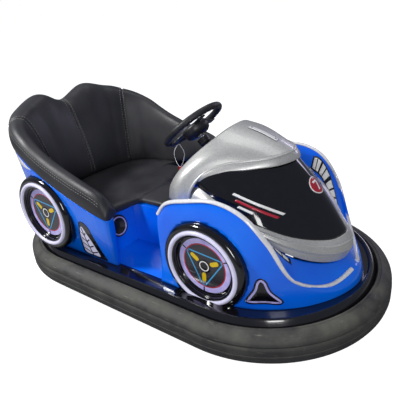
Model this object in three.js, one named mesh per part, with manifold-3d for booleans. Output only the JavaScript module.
// A two-seat fairground bumper car with a wrap-round rubber bumper, in millimetres.
// +X is the driving direction, +Y the left side and +Z up.
// The origin is on the floor, under the middle of the bumper.
import * as THREE from 'three';
import { mergeVertices } from 'three/addons/utils/BufferGeometryUtils.js';
import Module from 'manifold-3d';

const wasm = await Module();
wasm.setup();

// ---------------------------------------------------------------- driving dimensions

const car = { length: 1900, width: 1062 }; // over the rubber bumper
const gap = 0.3; // between pieces that sit on each other
const running = 6; // round anything that turns

const rubber = { bottom: 51, top: 165, depth: 60, shoulder: 44 };
const rail = { wall: 5.7, bottom: 62, top: 152 };
const skirt = { wall: 6, foot: 74, lip: 80, lipTop: 185, ledge: 100, ledgeTop: 170, inner: 158 };
const tube = { size: 30, rails: 230 };
const plate = { top: 160, wall: 4 };
const panel = { wall: 6 }; // moulded cockpit panels
const shell = { wall: 5 }; // moulded body shells
const bodyInset = { nose: 107, side: 146 }; // from the outside of the rubber to the body

const drive = { radius: 100, width: 56, hub: 62, spindle: 20, clear: 18, x: 430 };
const deck = { over: 145 }; // seat box and tunnel, above the top of the drive wheel
const tunnel = { lean: 34, clear: 16, front: 590 };
const seatFront = { foot: -196, head: -236, half: 366 }; // the sloping front wall of the seat box
const cushion = { thick: 36, tongue: 24, bevel: 10 };

const cover = { outer: 184, led: 158, ledIn: 141, disc: 131, deep: 60, recess: 25, steps: 24 };
const frontCover = { x: 367, y: 390, z: 303 };
const rearCover = { x: -490, y: 466, z: 376 };

const wheel = { radius: 165, rim: 14, tilt: 39, z: 730 }; // steering wheel
const universal = 31; // the joint under the column, below the top of the tunnel
const shaft = { radius: 11, head: 20, jacket: 21, free: 30 }; // free length between jacket and joint
const castor = { radius: 72, width: 46, hub: 44, axle: 10, clear: 8, y: 278 };
const battery = { length: 330, width: 344, height: 214 };

const deckTop = 2 * drive.radius + deck.over;
const driveHole = Math.hypot(drive.radius, drive.width / 2) + drive.clear; // the wheel turns inside it
const mountRadius = driveHole + 26;
const tunnelFoot = mountRadius + tunnel.clear; // half widths of the tunnel
const tunnelTop = tunnelFoot - tunnel.lean;

// ---------------------------------------------------------------- colours

const finish = (color, roughness, metalness = 0) =>
  new THREE.MeshStandardMaterial({ color, roughness, metalness });
const blue = finish('#0A5FD8', 0.16);
const silver = finish('#B4B6B8', 0.34, 0.6);
const black = finish('#121217', 0.1);
const vinyl = finish('#2C2D30', 0.5);
const rubberBlack = finish('#3A3B38', 0.85);
const steel = finish('#4A4D52', 0.5, 0.8);
const led = finish('#E8E6FA', 0.4);
const plastic = finish('#17171B', 0.45);
const tyreBlack = finish('#1D1D1C', 0.8);

// ---------------------------------------------------------------- small helpers

const V = (x, y, z) => new THREE.Vector3(x, y, z);
const lerp = (a, b, t) => a + (b - a) * t;
const mix = (a, b, t) => a.clone().lerp(b, t);

// The body is drawn for a nose 843 from the origin and a side 385 from the middle.
const drawn = { nose: 843, side: 385 };
const stretchX = (car.length / 2 - bodyInset.nose) / drawn.nose;
const stretchY = (car.width / 2 - bodyInset.side) / drawn.side;
const at = (x, y, z) => V(x * stretchX, y * stretchY, z);

function fromTriangles(points, triangles) {
  const geometry = new THREE.BufferGeometry();
  const numbers = points.flatMap((p) => [p.x, p.y, p.z]);
  geometry.setAttribute('position', new THREE.Float32BufferAttribute(numbers, 3));
  geometry.setIndex(triangles.flat());
  return geometry;
}

// Positions only, shared corners merged, no needle faces, and all faces pointing out.
function tidy(geometry) {
  let clean = geometry.clone();
  for (const name of ['normal', 'uv']) clean.deleteAttribute(name);
  clean = mergeVertices(clean, 1e-3);
  const p = clean.attributes.position;
  const index = [];
  const corner = [V(), V(), V()];
  let volume = 0;
  for (let i = 0; i < clean.index.count; i += 3) {
    const abc = [0, 1, 2].map((k) => clean.index.getX(i + k));
    if (new Set(abc).size < 3) continue;
    abc.forEach((vertex, k) => corner[k].fromBufferAttribute(p, vertex));
    volume += corner[0].dot(corner[1].clone().cross(corner[2]));
    index.push(...abc);
  }
  if (volume < 0) {
    for (let i = 0; i < index.length; i += 3) [index[i], index[i + 1]] = [index[i + 1], index[i]];
  }
  clean.setIndex(index);
  return clean;
}

function solid(geometry) {
  const clean = tidy(geometry);
  return new wasm.Manifold(
    new wasm.Mesh({
      numProp: 3,
      vertProperties: new Float32Array(clean.attributes.position.array),
      triVerts: new Uint32Array(clean.index.array),
    }),
  );
}

function fromSolid(result) {
  const mesh = result.getMesh();
  const geometry = new THREE.BufferGeometry();
  geometry.setAttribute('position', new THREE.BufferAttribute(new Float32Array(mesh.vertProperties), 3));
  geometry.setIndex(new THREE.BufferAttribute(new Uint32Array(mesh.triVerts), 1));
  return geometry;
}

const join = (...solids) => solids.reduce((all, next) => all.add(next));
const largest = (result) => result.decompose().reduce((a, b) => (a.volume() > b.volume() ? a : b));

const car3d = new THREE.Group();
function add(name, shape, material) {
  const geometry = tidy(shape.isBufferGeometry ? shape : fromSolid(shape));
  geometry.computeVertexNormals();
  const mesh = new THREE.Mesh(geometry, material);
  mesh.name = name;
  car3d.add(mesh);
  return mesh;
}

const moved = (geometry, x, y, z) => geometry.clone().translate(x, y, z);
const box = (x0, x1, y0, y1, z0, z1) => {
  const block = new THREE.BoxGeometry(x1 - x0, y1 - y0, z1 - z0);
  return solid(block.translate((x0 + x1) / 2, (y0 + y1) / 2, (z0 + z1) / 2));
};

// A solid through a row of closed rings, with a fan over each end, or joined end to end.
function loft(rings, endless = false) {
  const count = rings[0].length;
  const points = rings.flat();
  const triangles = [];
  const last = endless ? rings.length : rings.length - 1;
  for (let r = 0; r < last; r++) {
    const here = r * count;
    const next = ((r + 1) % rings.length) * count;
    for (let i = 0; i < count; i++) {
      const j = (i + 1) % count;
      triangles.push([here + i, next + i, next + j], [here + i, next + j, here + j]);
    }
  }
  if (!endless) {
    for (const [start, flip] of [[0, false], [(rings.length - 1) * count, true]]) {
      const centre = V();
      for (let i = 0; i < count; i++) centre.addScaledVector(points[start + i], 1 / count);
      const middle = points.push(centre) - 1;
      for (let i = 0; i < count; i++) {
        const edge = [start + i, start + ((i + 1) % count)];
        triangles.push(flip ? [middle, ...edge.reverse()] : [middle, ...edge]);
      }
    }
  }
  return fromTriangles(points, triangles);
}

// Rows of points moved sideways along their normals; positive is outwards.
function offset(rows, distance) {
  const ahead = (list, i) => list[Math.min(i + 1, list.length - 1)];
  const behind = (list, i) => list[Math.max(i - 1, 0)];
  return rows.map((row, r) =>
    row.map((point, i) => {
      const along = ahead(row, i).clone().sub(behind(row, i)).normalize();
      const up = ahead(rows, r)[i].clone().sub(behind(rows, r)[i]).normalize();
      return point.clone().addScaledVector(along.cross(up).normalize(), distance);
    }),
  );
}

// A moulded sheet: the rows are its outer face, and its wall goes inwards.
function sheet(rows, wall, lift = 0) {
  const outer = lift ? offset(rows, lift) : rows;
  const inner = offset(rows, lift - wall);
  const count = rows[0].length;
  const points = [...outer.flat(), ...inner.flat()];
  const under = rows.length * count;
  const triangles = [];
  const quad = (a, b, c, d) => triangles.push([a, b, c], [a, c, d]);
  for (let r = 0; r < rows.length - 1; r++) {
    for (let i = 0; i < count - 1; i++) {
      const a = r * count + i;
      quad(a, a + 1, a + 1 + count, a + count);
      quad(under + a, under + a + count, under + a + 1 + count, under + a + 1);
    }
    const [left, right] = [r * count, r * count + count - 1];
    quad(left, left + count, under + left + count, under + left);
    quad(right, under + right, under + right + count, right + count);
  }
  const top = (rows.length - 1) * count;
  for (let i = 0; i < count - 1; i++) {
    quad(i, under + i, under + i + 1, i + 1);
    quad(top + i, top + i + 1, under + top + i + 1, under + top + i);
  }
  return fromTriangles(points, triangles);
}

// The room inside a sheet, for what fits under it.
const room = (rows, depth) => solid(loft(offset(rows, -depth)));

// The rows with every edge carried on a little further.
function grown(rows, reach = 2) {
  const past = (edge, inner) => edge.clone().add(edge.clone().sub(inner).setLength(reach));
  const wide = rows.map((row) => [past(row[0], row[1]), ...row, past(row.at(-1), row.at(-2))]);
  const before = wide[0].map((p, i) => past(p, wide[1][i]));
  const after = wide.at(-1).map((p, i) => past(p, wide.at(-2)[i]));
  return [before, ...wide, after];
}
// What a neighbour of a sheet is cut by, so that the gap stays between them.
const loose = (rows, wall) => solid(sheet(grown(rows), wall + 2 * gap, gap));

const mirrored = (half) => [...half, ...half.slice(0, -1).reverse().map(([x, y, z]) => [x, -y, z])];
function symmetricCurve(half, steps) {
  const curve = new THREE.CatmullRomCurve3(mirrored(half).map(([x, y, z]) => at(x, y, z)));
  return Array.from({ length: 2 * steps + 1 }, (_, i) => curve.getPoint(i / (2 * steps)));
}

// A prism with a rounded outline, standing on z0.
function prism(outline, z0, z1, bevel = 0) {
  const shape = new THREE.Shape(outline);
  const geometry = new THREE.ExtrudeGeometry(shape, {
    depth: z1 - z0 - 2 * bevel,
    bevelEnabled: bevel > 0,
    bevelThickness: bevel,
    bevelSize: bevel,
    bevelOffset: -bevel,
    bevelSegments: 2,
    curveSegments: 6,
  });
  return geometry.translate(0, 0, z0 + bevel);
}

const points2 = (list) => list.map(([x, y]) => new THREE.Vector2(x, y));
const lathe = (profile, steps = 24) => new THREE.LatheGeometry(points2([...profile, profile[0]]), steps);
// A tyre's outline with a flat at the bottom, as deep as the round one.
const tyre = (profile, steps) => {
  const corner = 1 / Math.cos(Math.PI / steps);
  return lathe(profile.map(([r, y]) => [r * corner, y]), steps).rotateY(Math.PI / steps);
};
const upright = (geometry) => geometry.clone().rotateX(Math.PI / 2);

// ---------------------------------------------------------------- the bumper ring

const halfLength = car.length / 2;
const halfWidth = car.width / 2;
const endCentre = halfLength - halfWidth;
const arcSteps = 16;

// Plan points of the ring, with the outward direction at each.
const ringPath = [1, -1].flatMap((end) =>
  Array.from({ length: arcSteps + 1 }, (_, i) => {
    const angle = (i / arcSteps - 0.5) * Math.PI;
    return { x: end * endCentre, nx: end * Math.cos(angle), ny: end * Math.sin(angle) };
  }),
);
const ringPoint = ({ x, nx, ny }, inset, z) => V(x + nx * (halfWidth - inset), ny * (halfWidth - inset), z);
const ring = (profile) =>
  loft(ringPath.map((station) => profile.map(([inset, z]) => ringPoint(station, inset, z))), true);
const stadium = (inset, z0, z1) => {
  const outline = ringPath.map((station) => ringPoint(station, inset, 0));
  return solid(prism(outline.map((p) => new THREE.Vector2(p.x, p.y)), z0, z1));
};

add('bumper_tyre', ring([
  [8, rubber.bottom],
  [0, 72],
  [0, 112],
  [6, 121],
  [2, 129],
  [12, 148],
  [30, 160],
  [rubber.shoulder, rubber.top],
  [56, rubber.top],
  [rubber.depth, 158],
  [rubber.depth, 60],
  [50, rubber.bottom],
]), rubberBlack);

const railFace = rubber.depth + gap;
const railBack = railFace + rail.wall;
add('bumper_rail', ring([
  [railFace, rail.bottom],
  [railFace, rail.top],
  [railBack, rail.top],
  [railBack, rail.bottom],
]), steel);

const skirtFoot = rail.top + gap;
const skirtRing = solid(ring([
  [62, skirtFoot],
  [74, 177],
  [skirt.lip - 3, skirt.lipTop - 1.5],
  [skirt.lip + 3, skirt.lipTop],
  [skirt.lip + 9, skirt.lipTop - 2],
  [skirt.ledge - 4, skirt.ledgeTop + 1.5],
  [skirt.ledge, skirt.ledgeTop],
  [skirt.inner, skirt.ledgeTop],
  [skirt.inner, skirt.ledgeTop - skirt.wall],
  [skirt.ledge - 6, skirt.ledgeTop - skirt.wall],
  [skirt.lip + 4, skirt.lipTop - 8],
  [skirt.lip - 2, skirt.lipTop - 9],
  [70, skirtFoot],
]));

// ---------------------------------------------------------------- body surfaces

const bodyFoot = skirt.ledgeTop + gap;
const frontSteps = 18;

// From the rear edge of the right front wing to the middle of the nose.
const frontLines = {
  foot: [[148, -385], [225, -386], [310, -386], [430, -384], [540, -364], [640, -316], [735, -236],
    [813, -118], [843, 0]].map(([x, y]) => [x, y, bodyFoot]),
  crest: [[146, -352, 468], [196, -352, 524], [300, -352, 556], [430, -350, 575], [535, -346, 542],
    [615, -330, 452], [690, -280, 292], [775, -142, 217], [818, 0, 236]],
  inner: [[160, -292, 470], [225, -290, 512], [310, -284, 530], [440, -300, 492], [545, -284, 440],
    [612, -246, 378], [682, -178, 315], [750, -84, 274], [774, 0, 266]],
};
const wallZ = [0, 0.15, 0.45, 0.75, 0.93, 1];
const wingPlan = [0, 0.36, 0.58, 0.66, 0.82, 1];
const nosePlan = [0, -0.02, 0.06, 0.28, 0.66, 1];

function frontSurface() {
  const foot = symmetricCurve(frontLines.foot, frontSteps);
  const crest = symmetricCurve(frontLines.crest, frontSteps);
  const inner = symmetricCurve(frontLines.inner, frontSteps);
  const wall = wallZ.map((t, k) =>
    foot.map((low, i) => {
      const nose = THREE.MathUtils.smoothstep(1 - Math.abs(i / frontSteps - 1), 0.5, 0.85);
      const plan = lerp(wingPlan[k], nosePlan[k], nose);
      return V(lerp(low.x, crest[i].x, plan), lerp(low.y, crest[i].y, plan), lerp(low.z, crest[i].z, t));
    }),
  );
  const valley = [0.15, 0.55, 1].map((t) => crest.map((top, i) => mix(top, inner[i], t)));
  return { wall, valley, rows: [...wall, ...valley] };
}
const front = frontSurface();

const rearSteps = 22;
// From the inside of the right door pillar, round its front and along the side to the middle of the back.
const rearLines = {
  foot: [[-200, -371], [-112, -371], [-104, -392], [-150, -397], [-235, -396], [-340, -396], [-460, -394],
    [-580, -378], [-690, -325], [-780, -235], [-828, -120], [-843, 0]].map(([x, y]) => [x, y, bodyFoot]),
  edge: [[-178, -396, 458], [-68, -396, 428], [-58, -436, 429], [-106, -449, 441], [-190, -450, 467],
    [-300, -450, 503], [-440, -450, 563], [-560, -444, 630], [-680, -405, 672], [-780, -310, 692],
    [-840, -165, 700], [-858, 0, 702]],
};
const rearZ = [0, 0.25, 0.5, 0.75, 1];
function rearSurface() {
  const foot = symmetricCurve(rearLines.foot, rearSteps);
  const edge = symmetricCurve(rearLines.edge, rearSteps);
  const rows = rearZ.map((t) =>
    foot.map((low, i) => {
      const plan = t + 0.12 * Math.sin(Math.PI * t);
      return V(lerp(low.x, edge[i].x, plan), lerp(low.y, edge[i].y, plan), lerp(low.z, edge[i].z, t));
    }),
  );
  return { rows: rows.map((row) => row.slice().reverse()), foot, edge };
}
const rear = rearSurface();

// ---------------------------------------------------------------- round wheel covers

const coverCut = (place, side, radius, from, to) => {
  const cylinder = new THREE.CylinderGeometry(radius, radius, to - from, cover.steps);
  const centre = at(place.x, place.y, place.z);
  return solid(moved(cylinder, centre.x, side * (centre.y - (from + to) / 2), centre.z));
};
const clearOut = 60; // how far a cut through a shell runs past the outside
const coverHoles = (place, out = clearOut) =>
  join(...[1, -1].map((side) => coverCut(place, side, cover.outer + gap, -out, cover.deep + running)));
const flushHoles = (place) => coverHoles(place, running + gap);

const skirtCut = skirtRing.subtract(flushHoles(frontCover)).subtract(flushHoles(rearCover));
add('lower_skirt', largest(skirtCut), black);
// A body shell stands on the ledge, inside the lip.
const lipZone = box(-halfLength, halfLength, -halfWidth, halfWidth, 0, skirt.lipTop + gap)
  .subtract(stadium(skirt.ledge + gap, -1, skirt.lipTop + 1));
const standing = (result) => result.trimByPlane([0, 0, 1], bodyFoot).subtract(lipZone);
const bodyShell = (rows, place) =>
  largest(standing(solid(sheet(rows, shell.wall)).subtract(coverHoles(place))));
add('front_body', bodyShell(front.rows, frontCover), blue);
add('rear_body', bodyShell(rear.rows, rearCover), blue);
const frontLoose = loose(front.rows, shell.wall);
const rearLoose = loose(rear.rows, shell.wall);

const coverProfile = [
  [0, cover.recess - 2],
  [26, cover.recess - 2],
  [30, cover.recess],
  [cover.disc, cover.recess],
  [cover.disc, 4],
  [cover.ledIn - gap, 2],
  [cover.ledIn - gap, 9],
  [cover.led + gap, 9],
  [cover.led + gap, 2],
  [cover.outer - 16, 1],
  [cover.outer - 4, 9],
  [cover.outer, 24],
  [cover.outer, cover.deep],
  [cover.outer - 8, cover.deep],
  [cover.outer - 12, cover.recess + 9],
  [0, cover.recess + 9],
];
const ledProfile = [
  [cover.ledIn + 2, -4],
  [(cover.ledIn + cover.led) / 2, -6],
  [cover.led - 2, -4],
  [cover.led, 9 - gap],
  [cover.ledIn, 9 - gap],
];
for (const [end, place] of [['front', frontCover], ['rear', rearCover]]) {
  for (const [sideName, side] of [['right', -1], ['left', 1]]) {
    const centre = at(place.x, place.y, place.z);
    const place3 = (profile) => {
      const turned = lathe(profile.map(([r, deep]) => [r, -side * deep]), cover.steps);
      return moved(turned, centre.x, side * centre.y, centre.z);
    };
    add(`${end}_wheel_cover_${sideName}`, place3(coverProfile), black);
    add(`${end}_led_ring_${sideName}`, place3(ledProfile), led);
  }
}

// ---------------------------------------------------------------- cowl, canopy and its trim

const cowlLines = {
  rear: [[150, -274, 508], [160, -270, 560], [190, -253, 614], [240, -210, 674], [288, -148, 722],
    [310, -72, 749], [318, 0, 757]],
  lip: [[262, -292, 512], [266, -280, 562], [303, -243, 620], [368, -195, 652], [448, -145, 660],
    [524, -84, 664], [562, 0, 670]],
};
const cowlBulge = [14, 18, 20, 18, 14, 12, 12];
const cowlSteps = 12;
function cowlSurface() {
  const rearEdge = symmetricCurve(cowlLines.rear, cowlSteps);
  const lip = symmetricCurve(cowlLines.lip, cowlSteps);
  const axis = at(360, 0, 480);
  return [0, 0.12, 0.35, 0.6, 0.85, 1].map((t) =>
    rearEdge.map((start, i) => {
      const point = mix(start, lip[i], t);
      const out = V(0, point.y, point.z - axis.z).normalize();
      const station = (1 - Math.abs(i / cowlSteps - 1)) * (cowlBulge.length - 1);
      const bulge = cowlBulge[Math.round(station)];
      return point.addScaledVector(out, bulge * Math.sin(Math.PI * t));
    }),
  );
}
const cowl = cowlSurface().reverse();
add('cowl', largest(solid(sheet(cowl, shell.wall)).subtract(frontLoose)), silver);

const canopySteps = 12;
const canopyWall = 4;
const canopyBulge = 16;
const canopyFoot = [[286, -256, 574], [373, -270, 540], [467, -270, 490], [557, -248, 456], [632, -198, 414],
  [700, -124, 378], [754, -62, 366], [778, 0, 373]];
function canopySurface() {
  const foot = symmetricCurve(canopyFoot, canopySteps);
  const under = offset(cowl, -(shell.wall + running))[1];
  const top = new THREE.CatmullRomCurve3(under);
  return [0, 0.1, 0.3, 0.55, 0.8, 1].map((t) =>
    foot.map((low, i) => {
      const u = i / (2 * canopySteps);
      const high = top.getPoint(lerp(0.15, 0.85, u));
      const point = mix(low, high, t);
      const out = V(0.75 * Math.sin(Math.PI * u), 1.6 * (u - 0.5), 0.5).normalize();
      const fade = Math.sin((Math.PI * Math.min(1, u * 5, (1 - u) * 5)) / 2); // no bulge at the two ends
      return point.addScaledVector(out, canopyBulge * fade * Math.sin(Math.PI * t));
    }),
  );
}
const canopy = canopySurface();
const cowlLoose = loose(cowl, shell.wall);
const canopySolid = largest(solid(sheet(canopy, canopyWall)).subtract(frontLoose).subtract(cowlLoose));
add('canopy', canopySolid, black);

const trimFoot = [[262, -283, 532], [373, -296, 508], [470, -296, 466], [560, -276, 418], [640, -226, 358],
  [706, -152, 304], [762, -74, 276], [784, 0, 268]];
function trimSurface() {
  const top = canopy[0];
  const foot = symmetricCurve(trimFoot, canopySteps);
  return [0.03, 0.3, 0.65, 1].map((t) =>
    foot.map((low, i) => {
      const nose = 1 - Math.abs(i / canopySteps - 1);
      const point = mix(top[i], low, t);
      const out = V(0.8 * nose, 1.4 * (i / (2 * canopySteps) - 0.5), 0.35).normalize();
      return point.addScaledVector(out, 1 + lerp(4, 22, nose) * Math.sin(Math.PI * t));
    }),
  ).reverse();
}
const canopyLoose = loose(canopy, canopyWall);
const trimSolid = solid(sheet(trimSurface(), canopyWall));
add('canopy_trim', largest(trimSolid.subtract(frontLoose).subtract(cowlLoose).subtract(canopyLoose)), silver);

// ---------------------------------------------------------------- cockpit panels

const insideFront = room(front.rows, shell.wall + 2 * gap);
const underCowl = room(cowl, shell.wall + gap);

const plateFoot = plate.top + gap;
const floorTop = plateFoot + panel.wall;
const panelFoot = floorTop + gap;
const driveAt = at(drive.x, 0, 0);

const extruded = (outline, depth) =>
  new THREE.ExtrudeGeometry(new THREE.Shape(outline), { depth, bevelEnabled: false });
const sideways = (outline, y0, y1) => {
  const geometry = extruded(points2(outline), y1 - y0);
  return solid(geometry.rotateX(Math.PI / 2).translate(0, y1, 0));
};
const lengthways = (outline, x0, x1) => {
  const geometry = extruded(points2(outline), x1 - x0);
  return solid(geometry.rotateX(Math.PI / 2).rotateZ(Math.PI / 2).translate(x0, 0, 0));
};
const post = (x, y, radius, z0, z1, steps = 28) =>
  solid(moved(upright(new THREE.CylinderGeometry(radius, radius, z1 - z0, steps)), x, y, (z0 + z1) / 2));

const batteryFront = seatFront.head * stretchX - 8;
const batteryBack = batteryFront - battery.length;
const batteryTop = deckTop - panel.wall - 20;
const batteryFoot = batteryTop - battery.height;
const tray = { wall: 3, clear: 3 };

// Panels stand inside the ledge of the skirt.
const skirtRoom = box(-halfLength, halfLength, -halfWidth, halfWidth, 0, skirt.ledgeTop + gap)
  .subtract(stadium(skirt.inner + gap, -1, skirt.ledgeTop + 1));
const floorBack = at(seatFront.foot - 10, 0, 0).x;
const floorFront = at(tunnel.front + 20, 0, 0).x;
const floorPanel = stadium(skirt.inner + gap, plateFoot, floorTop)
  .intersect(box(floorBack, floorFront, -halfWidth, halfWidth, 0, deckTop))
  .subtract(post(driveAt.x, 0, mountRadius + gap, 0, deckTop));
add('cockpit_floor', floorPanel.subtract(flushHoles(frontCover)), blue);

const headX = at(seatFront.head, 0, 0).x;
const footX = at(seatFront.foot, 0, 0).x;
const backX = at(-640, 0, 0).x;
const w = panel.wall;
const bodySide = halfWidth - rail.wall;
const frontWall = sideways([
  [footX, panelFoot], [headX, deckTop], [headX - w, deckTop], [footX - w, panelFoot],
], -seatFront.half * stretchY, seatFront.half * stretchY);
const seatDeck = box(backX, headX - w / 2, -bodySide, bodySide, deckTop - w, deckTop);
const seatBoxShape = frontWall.add(seatDeck);
const speaker = { y: 252, z: deckTop - 67, radius: 54 };
const slope = Math.atan2(footX - headX, deckTop - panelFoot); // how far the wall leans back
const wallX = (z) => lerp(footX, headX, (z - panelFoot) / (deckTop - panelFoot));
const onWall = (geometry, side) => {
  const leaning = geometry.clone().rotateZ(-Math.PI / 2).rotateY(-slope);
  return leaning.translate(wallX(speaker.z), side * speaker.y * stretchY, speaker.z);
};
const speakerHole = (side) =>
  solid(onWall(new THREE.CylinderGeometry(speaker.radius - 6, speaker.radius - 6, 60, 20), side));
add('seat_box', largest(seatBoxShape.subtract(rearLoose).subtract(coverHoles(rearCover))
  .subtract(speakerHole(1)).subtract(speakerHole(-1)).subtract(skirtRoom)), blue);
for (const [name, side] of [['right', -1], ['left', 1]]) {
  const r = speaker.radius;
  const profile = [[0, -24], [r - 26, -24], [r - 8, -3], [r - 8, 4], [r - 1, 6], [r, gap], [r - 7, gap],
    [r - 7, -10], [r - 22, -30], [0, -30]];
  add(`speaker_${name}`, onWall(new THREE.LatheGeometry(points2(profile), 20), side), plastic);
}

const tunnelBack = at(seatFront.head - 30, 0, 0).x;
const tunnelFront = at(tunnel.front, 0, 0).x;
const tunnelShape = lengthways([
  [-tunnelFoot, panelFoot], [-tunnelTop, deckTop], [tunnelTop, deckTop], [tunnelFoot, panelFoot],
  [tunnelFoot - w, panelFoot], [tunnelTop - w, deckTop - w],
  [w - tunnelTop, deckTop - w], [w - tunnelFoot, panelFoot],
], tunnelBack, tunnelFront);
const seatGap = gap * 1.2;
const behindWall = sideways([
  [wallX(panelFoot - 1) + seatGap, panelFoot - 1],
  [wallX(deckTop + 1) + seatGap, deckTop + 1],
  [tunnelBack - 10, deckTop + 1],
  [tunnelBack - 10, panelFoot - 1],
], -halfWidth, halfWidth);

// ---------------------------------------------------------------- steering column line

const tilt = THREE.MathUtils.degToRad(wheel.tilt);
const jointAt = V(driveAt.x, 0, deckTop - universal);
const wheelAt = V(jointAt.x - (wheel.z - jointAt.z) * Math.tan(tilt), 0, wheel.z);
const columnLength = wheelAt.distanceTo(jointAt);
// Shapes for the column are drawn along +Y, measured down from the steering wheel.
const downColumn = (geometry) => {
  const turned = geometry.clone().rotateX(-Math.PI / 2); // +Y becomes -Z
  return turned.rotateY(-tilt).translate(wheelAt.x, 0, wheelAt.z);
};
const bore = (radius, from, to) => {
  const cylinder = new THREE.CylinderGeometry(radius, radius, to - from, 24);
  return solid(downColumn(cylinder.translate(0, (from + to) / 2, 0)));
};

const columnHole = bore(shaft.jacket + gap, 0, columnLength + 40);
add('tunnel', largest(tunnelShape.subtract(behindWall).subtract(columnHole)), blue);

// ---------------------------------------------------------------- kick panels and dash

const kick = { y: 318, back: 152, front: 520, jamb: 14, top: skirt.ledgeTop + 420 };
for (const [name, side] of [['right', -1], ['left', 1]]) {
  const [inner, outer] = [kick.y * stretchY, (kick.y + w) * stretchY];
  const y = (a, b) => [Math.min(side * a, side * b), Math.max(side * a, side * b)];
  const back = at(kick.back, 0, 0).x;
  const wall = box(back, at(kick.front, 0, 0).x, ...y(inner, outer), panelFoot, kick.top);
  const jamb = box(back, back + w, ...y(inner - kick.jamb, halfWidth), panelFoot, kick.top);
  const cut = wall.add(jamb).intersect(insideFront)
    .subtract(frontLoose)
    .subtract(coverHoles(frontCover))
    .subtract(skirtRoom)
    .subtract(cowlLoose)
    .subtract(canopyLoose);
  add(`kick_panel_${name}`, largest(cut), blue);
}

const dash = { x: 318, foot: 412, bracket: 60 };
const dashX = at(dash.x, 0, 0).x;
const dashPlate = box(dashX, dashX + w, -halfWidth, halfWidth, dash.foot, car.length).intersect(underCowl);
const columnBracket = box(dashX, dashX + w, -dash.bracket, dash.bracket, dash.foot, wheel.z - 100);
const dashSolid = dashPlate.add(columnBracket)
  .subtract(frontLoose)
  .subtract(columnHole)
  .subtract(canopyLoose);
add('dash_panel', largest(dashSolid), black);

// ---------------------------------------------------------------- steering

const steeringRim = new THREE.TorusGeometry(wheel.radius - wheel.rim, wheel.rim, 7, 22).rotateX(Math.PI / 2);
const hub = { radius: 62, from: 4, to: 56 };
const hubPad = lathe([[0, hub.from], [hub.radius - 12, hub.from], [hub.radius, hub.from + 10],
  [hub.radius - 6, hub.to - 12], [36, hub.to], [0, hub.to]], 20);
const spokes = [-90, 30, 150].map((degrees) => {
  const rimRadius = wheel.radius - wheel.rim;
  const spoke = new THREE.BoxGeometry(rimRadius - 40, 9, 34).translate(rimRadius / 2 + 22, 0, 0);
  return solid(spoke.rotateZ(-0.12).translate(0, 15, 0).rotateY(THREE.MathUtils.degToRad(degrees)));
});
const wheelSolid = join(solid(steeringRim), solid(hubPad), ...spokes);
add('steering_wheel', downColumn(fromSolid(wheelSolid)), plastic);

const jacketTo = columnLength - shaft.free;
const shaftStart = hub.to + gap;
const shaftEnd = jacketTo + 10;
const shaftProfile = [[0, shaftStart], [shaft.head, shaftStart], [shaft.head, shaftStart + 5],
  [shaft.radius, shaftStart + 5], [shaft.radius, shaftEnd], [0, shaftEnd]];
add('steering_shaft', downColumn(lathe(shaftProfile, 20)), steel);
const jacketFrom = hub.to + 14;
const collar = shaft.jacket + 6;
const wideBore = shaft.radius + 5;
const closeBore = shaft.radius + 0.5;
const jacketProfile = [[wideBore, jacketFrom], [collar, jacketFrom], [collar, jacketFrom + 26],
  [shaft.jacket, jacketFrom + 32], [shaft.jacket, jacketTo], [closeBore, jacketTo],
  [closeBore, jacketTo - 20], [wideBore, jacketTo - 20]];
add('steering_column', downColumn(lathe(jacketProfile, 20)), plastic);

// ---------------------------------------------------------------- steel frame

const tubeTop = plate.top - plate.wall - gap;
const tubeFoot = tubeTop - tube.size;
const crossX = [-800, -212, 250, 610, 800].map((x) => at(x, 0, 0).x);
const longTube = (y) => box(-halfLength, halfLength, y - tube.size / 2, y + tube.size / 2, tubeFoot, tubeTop);
const crossTube = (x) => box(x - tube.size / 2, x + tube.size / 2, -halfWidth, halfWidth, tubeFoot, tubeTop);
const railsY = tube.rails * stretchY;
const frameSolid = join(longTube(railsY), longTube(-railsY), ...crossX.map(crossTube))
  .intersect(stadium(railBack + gap, 0, rail.top).add(stadium(skirt.foot + gap, 0, tubeTop + 1)))
  .subtract(flushHoles(frontCover))
  .subtract(flushHoles(rearCover));
add('chassis_frame', frameSolid, steel);

const trayOuter = battery.width / 2 + tray.clear + tray.wall;
const trayBack = batteryBack - tray.clear - tray.wall;
const trayFront = batteryFront + tray.clear + tray.wall;
const trayFoot = batteryFoot - gap - tray.wall;
const plateSolid = stadium(skirt.foot + gap, plate.top - plate.wall, plate.top)
  .subtract(post(driveAt.x, 0, driveHole, 0, plate.top + 1))
  .subtract(box(trayBack - gap, trayFront + gap, -trayOuter - gap, trayOuter + gap, 0, plate.top + 1))
  .subtract(flushHoles(frontCover))
  .subtract(flushHoles(rearCover));
add('floor_plate', plateSolid, steel);

const flange = 14;
const traySolid = box(trayBack, trayFront, -trayOuter, trayOuter, trayFoot, plate.top + gap)
  .add(box(trayBack - flange, trayFront + 4, -trayOuter - flange, trayOuter + flange,
    plate.top + gap, plate.top + gap + tray.wall))
  .subtract(box(trayBack + tray.wall, trayFront - tray.wall, tray.wall - trayOuter, trayOuter - tray.wall,
    trayFoot + tray.wall, deckTop));
add('battery_tray', traySolid, steel);
const batterySide = battery.width / 2;
const batteryBlock = box(batteryBack, batteryFront, -batterySide, batterySide, batteryFoot, batteryTop);
add('battery_pack', batteryBlock, plastic);

// ---------------------------------------------------------------- rear wheels

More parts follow.
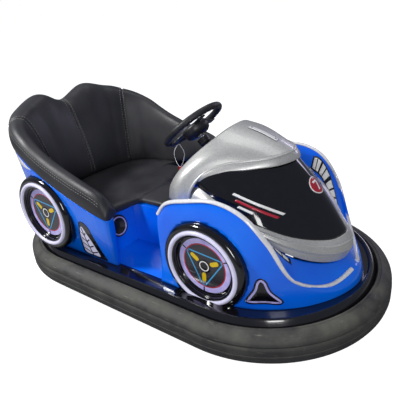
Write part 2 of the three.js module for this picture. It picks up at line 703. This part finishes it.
// The axle stands as far back as the tyres clear the bumper rail.
const tyreSide = castor.y * stretchY + castor.width / 2;
const tyreBack = endCentre + Math.sqrt((halfWidth - railBack - castor.clear) ** 2 - tyreSide ** 2);
const axleAt = V(castor.radius - tyreBack, castor.y * stretchY, castor.radius);
const hanger = { inner: railsY - 6, outer: railsY + 6, deep: 22, half: 26 };
for (const [name, side] of [['right', -1], ['left', 1]]) {
  const across = (profile, steps, turned = lathe) =>
    moved(turned(profile.map(([r, y]) => [r, side * y]), steps), axleAt.x, side * axleAt.y, castor.radius);
  const half = castor.width / 2;
  const hubHalf = castor.hub / 2 + 4;
  const bearingRadius = castor.axle + 0.5;
  const [narrow, wide] = [24, 40]; // radii of the hub at its ends and under the tyre
  const hubProfile = [[bearingRadius, -hubHalf], [narrow, -hubHalf], [narrow, -half + 6], [wide, -half + 6],
    [wide, half - 6], [narrow, half - 6], [narrow, hubHalf], [bearingRadius, hubHalf]];
  const tyreProfile = [[wide + gap, -half], [castor.radius - 8, -half], [castor.radius, -half + 10],
    [castor.radius, half - 10], [castor.radius - 8, half], [wide + gap, half]];
  add(`rear_hub_${name}`, across(hubProfile, 20), steel);
  add(`rear_tyre_${name}`, across(tyreProfile, 20, tyre), tyreBlack);
}
const axleHalf = axleAt.y + castor.hub / 2 + 12;
const axleBar = new THREE.CylinderGeometry(castor.axle, castor.axle, 2 * axleHalf, 16);
const rearAxle = solid(moved(axleBar, axleAt.x, 0, castor.radius));
const hangers = [1, -1].map((side) =>
  box(axleAt.x - hanger.half, axleAt.x + hanger.half, side > 0 ? hanger.inner : -hanger.outer,
    side > 0 ? hanger.outer : -hanger.inner, castor.radius - hanger.deep, tubeFoot - gap));
add('rear_axle', join(rearAxle, ...hangers), steel);

// ---------------------------------------------------------------- drive unit under the tunnel

const mountFoot = plate.top + gap;
const bearing = { foot: 2 * drive.radius + 40, top: 2 * drive.radius + 56 };
const postRing = (driveHole + mountRadius) / 2;
const mountPosts = [45, 135, 225, 315].map((degrees) => {
  const angle = THREE.MathUtils.degToRad(degrees);
  const [x, y] = [driveAt.x + postRing * Math.cos(angle), postRing * Math.sin(angle)];
  return post(x, y, 8, mountFoot + 2, bearing.foot + 4, 10);
});
const mountBase = post(driveAt.x, 0, mountRadius, mountFoot, mountFoot + 8)
  .subtract(post(driveAt.x, 0, driveHole, 0, 300));
const mountHead = post(driveAt.x, 0, mountRadius - 14, bearing.foot, bearing.top)
  .subtract(post(driveAt.x, 0, drive.spindle + 0.6, 0, 400, 20));
add('drive_mount', join(mountBase, mountHead, ...mountPosts), steel);

const forkTop = jointAt.z - 24;
const leg = { inner: drive.width / 2 + 10, wall: 12, half: 24 };
const legs = [1, -1].map((side) => {
  const [a, b] = [leg.inner * side, (leg.inner + leg.wall) * side];
  return box(driveAt.x - leg.half, driveAt.x + leg.half, Math.min(a, b), Math.max(a, b),
    drive.radius - 22, bearing.foot - running);
});
const yoke = box(driveAt.x - leg.half, driveAt.x + leg.half, -leg.inner - leg.wall, leg.inner + leg.wall,
  drive.radius * 2 + 10, bearing.foot - running);
const pinBar = new THREE.CylinderGeometry(12, 12, 2 * (leg.inner + leg.wall) + 12, 14);
const pin = solid(moved(pinBar, driveAt.x, 0, drive.radius));
const spindle = post(driveAt.x, 0, drive.spindle, bearing.foot - running - 1, forkTop, 20);
add('drive_fork', join(...legs, yoke, pin, spindle), steel);

const driveAcross = (profile, steps, turned = lathe) =>
  moved(turned(profile, steps), driveAt.x, 0, drive.radius);
const hubSide = drive.hub / 2;
const motor = { bore: 12.5, face: 58, radius: 70 };
const motorProfile = [[motor.bore, -hubSide], [motor.face, -hubSide], [motor.radius, -hubSide + 8],
  [motor.radius, hubSide - 8], [motor.face, hubSide], [motor.bore, hubSide]];
add('drive_motor_hub', driveAcross(motorProfile, 24), steel);
const treadHalf = drive.width / 2;
const treadProfile = [[motor.radius + gap, -treadHalf], [drive.radius - 8, -treadHalf],
  [drive.radius, -treadHalf + 10], [drive.radius, treadHalf - 10], [drive.radius - 8, treadHalf],
  [motor.radius + gap, treadHalf]];
add('drive_tyre', driveAcross(treadProfile, 24, tyre), tyreBlack);

// ---------------------------------------------------------------- lamps and fittings

// A patch of a moulded surface, lifted off it, cut to an outline drawn looking at the right side.
const lampLift = gap;
const lampWall = 4;
function patch(rows, columns) {
  return solid(sheet(rows.map((row) => columns.map((i) => row[i])), lampWall, lampLift + lampWall));
}
const reach = (from, to) => Array.from({ length: to - from + 1 }, (_, i) => from + i);
const curved = (outline) => {
  const line = new THREE.SplineCurve(points2([...outline, outline[0]]));
  return line.getPoints(outline.length * 3).slice(0, -1);
};
// The cutter stands square to the side of the body, turned about the vertical.
function lampCutter(outline, turn) {
  const reachThrough = 160;
  const geometry = extruded(curved(outline), reachThrough);
  geometry.translate(0, 0, -reachThrough / 2).rotateX(Math.PI / 2).rotateZ(turn);
  return geometry;
}
const lamps = {
  front: {
    place: [606, -338, 246],
    turn: 32,
    outline: [[-70, -44], [-40, 10], [-28, 48], [-12, 60], [6, 50], [24, 8], [66, -38], [60, -50],
      [0, -48], [-62, -52]],
  },
  rear: {
    place: [-196, -430, 286],
    turn: 0,
    outline: [[-58, 96], [-36, 100], [-8, 84], [6, 40], [20, -10], [34, -70], [40, -96], [28, -104],
      [-40, -104], [-104, -102], [-118, -94], [-112, -50], [-98, 0], [-76, 60]],
  },
};
const lampBeds = [
  ['front', front.wall.slice(0, 5), reach(7, 14), frontCover],
  ['rear', rear.rows, reach(2 * rearSteps - 12, 2 * rearSteps - 5), rearCover],
];
for (const [end, surface, columns, coverPlace] of lampBeds) {
  const { place, turn, outline } = lamps[end];
  const centre = at(...place);
  const piece = patch(surface, columns);
  for (const [name, side] of [['right', -1], ['left', 1]]) {
    const cutter = moved(lampCutter(outline, THREE.MathUtils.degToRad(turn)), centre.x, centre.y, centre.z);
    const right = largest(piece.intersect(solid(cutter)).subtract(coverHoles(coverPlace)));
    add(`${end}_side_lamp_${name}`, side < 0 ? right : right.mirror([0, 1, 0]), black);
  }
}

// Segmented lamps on the inner slopes of the front wings.
const slopeRows = front.rows.slice(-3);
const headlightAt = { from: 0.5, to: 0.7 };
for (const [name, side] of [['right', -1], ['left', 1]]) {
  const columns = reach(Math.round(headlightAt.from * frontSteps), Math.round(headlightAt.to * frontSteps));
  const across = [0.3, 0.55, 0.8].map((t) => columns.map((i) => mix(slopeRows[0][i], slopeRows[2][i], t)));
  const bed = solid(sheet(across, lampWall, lampLift + lampWall));
  const right = bed.subtract(frontLoose).subtract(canopyLoose);
  add(`headlight_${name}`, side < 0 ? largest(right) : largest(right).mirror([0, 1, 0]), led);
}

// Accelerator in the right footwell.
const pedal = { x: 400, y: -252, half: 30, lean: 0.9 };
const pedalBase = new THREE.BoxGeometry(110, pedal.half * 2, 8).translate(0, 0, 4);
const pedalPad = new THREE.BoxGeometry(96, pedal.half * 2 - 8, 8)
  .rotateY(-pedal.lean + 0.3)
  .translate(14, 0, 34);
const pedalPost = new THREE.BoxGeometry(14, pedal.half, 30).translate(14, 0, 20);
const pedalAt = at(pedal.x, pedal.y, floorTop + gap);
const pedalSolid = fromSolid(join(solid(pedalBase), solid(pedalPad), solid(pedalPost)));
add('accelerator_pedal', pedalSolid.translate(pedalAt.x, pedalAt.y, pedalAt.z), plastic);

// ---------------------------------------------------------------- seat

const cushionShape = () => {
  const half = 322 * stretchY;
  const sideX = -430 * stretchX;
  const [rearX, neckX, noseX] = [-612, -216, 172].map((x) => at(x, 0, 0).x);
  const neck = tunnelTop - 4;
  const [corner, round] = [150, 26];
  const shape = new THREE.Shape();
  shape.moveTo(rearX + corner, -half + 40);
  shape.lineTo(sideX, -half);
  shape.lineTo(neckX - round, -half);
  shape.quadraticCurveTo(neckX, -half, neckX, -half + round);
  shape.lineTo(neckX + 40, -neck);
  shape.lineTo(noseX - 40, -neck);
  shape.quadraticCurveTo(noseX, -neck, noseX, -neck + 60);
  shape.lineTo(noseX, neck - 60);
  shape.quadraticCurveTo(noseX, neck, noseX - 40, neck);
  shape.lineTo(neckX + 40, neck);
  shape.lineTo(neckX, half - round);
  shape.quadraticCurveTo(neckX, half, neckX - round, half);
  shape.lineTo(sideX, half);
  shape.lineTo(rearX + corner, half - 40);
  shape.quadraticCurveTo(rearX, half - 110, rearX, 0);
  shape.quadraticCurveTo(rearX, -half + 110, rearX + corner, -half + 40);
  return shape;
};
const cushionSolid = new THREE.ExtrudeGeometry(cushionShape(), {
  depth: cushion.thick - 2 * cushion.bevel,
  bevelEnabled: true,
  bevelThickness: cushion.bevel,
  bevelSize: cushion.bevel,
  bevelOffset: -cushion.bevel,
  bevelSegments: 2,
  curveSegments: 5,
}).translate(0, 0, deckTop + gap + cushion.bevel);
const tongueTop = deckTop + gap + cushion.tongue;
const neckEnd = at(seatFront.head, 0, 0).x + 60;
const aboveTongue = box(neckEnd, halfLength, -halfWidth, halfWidth, tongueTop, tongueTop + 100);
add('seat_cushion', solid(cushionSolid).subtract(aboveTongue), vinyl);

// One section of the padded back for each station from the right arm round to the middle.
// Offsets are outwards from the top edge of the body. The crest is above that edge, the foot above the deck.
const pad = {
  path: [[-60, -446, 430], [-160, -450, 458], [-300, -450, 503], [-440, -450, 563], [-560, -444, 630],
    [-680, -405, 672], [-780, -310, 692], [-840, -165, 700], [-858, 0, 702]],
  crest: [104, 104, 104, 103, 104, 112, 134, 162, 98],
  lining: [-70, -84, -104, -108, -132, -168, -206, -232, -237],
  shoulder: [-58, -60, -64, -66, -72, -86, -112, -124, -112],
  foot: [87, 95, 27, 1, 1, 1, 1, 1, 1],
};
const padSteps = 13;
function seatBack() {
  const half = pad.path.length - 1;
  const stations = Array.from({ length: 2 * padSteps + 1 }, (_, i) => i / (2 * padSteps));
  const read = (list, u) => {
    const place = (1 - Math.abs(2 * u - 1)) * half;
    const low = Math.min(Math.floor(place), half - 1);
    return lerp(list[low], list[low + 1], THREE.MathUtils.smoothstep(place - low, 0, 1));
  };
  const edge = new THREE.CatmullRomCurve3(mirrored(pad.path).map(([x, y, z]) => at(x, y, z)));
  const rings = stations.map((u) => {
    const here = edge.getPoint(u);
    const ahead = edge.getPoint(Math.min(1, u + 0.01)).sub(edge.getPoint(Math.max(0, u - 0.01)));
    const out = V(ahead.y, -ahead.x, 0).normalize().negate();
    const [lining, shoulder] = [pad.lining, pad.shoulder].map((list) => read(list, u));
    const top = here.z + read(pad.crest, u);
    const foot = deckTop + read(pad.foot, u);
    const put = (o, z) => V(here.x + out.x * o, here.y + out.y * o, z);
    return [
      put(lining, foot), put(lerp(lining, shoulder, 0.4), lerp(foot, top, 0.55)),
      put(shoulder, top - 22), put(shoulder * 0.7, top - 3), put(shoulder * 0.35, top), put(0, top - 20),
      put(9, top - 56), put(8, here.z + 16), put(4, here.z + gap), put(-shell.wall - 4, here.z + gap),
      put(-shell.wall - 8, here.z - 4), put(Math.max(lining + 20, -44), foot),
    ];
  });
  const shrink = (ringPoints, scale, shift) => {
    const centre = ringPoints.reduce((sum, p) => sum.addScaledVector(p, 1 / ringPoints.length), V());
    return ringPoints.map((p) => p.clone().sub(centre).multiplyScalar(scale).add(centre).add(V(shift, 0, 0)));
  };
  return [shrink(rings[0], 0.72, 13), ...rings, shrink(rings.at(-1), 0.72, 13)];
}
const seatBackSolid = solid(loft(seatBack()));
add('seat_back', largest(seatBackSolid.subtract(rearLoose).subtract(coverHoles(rearCover))), vinyl);

export default car3d;
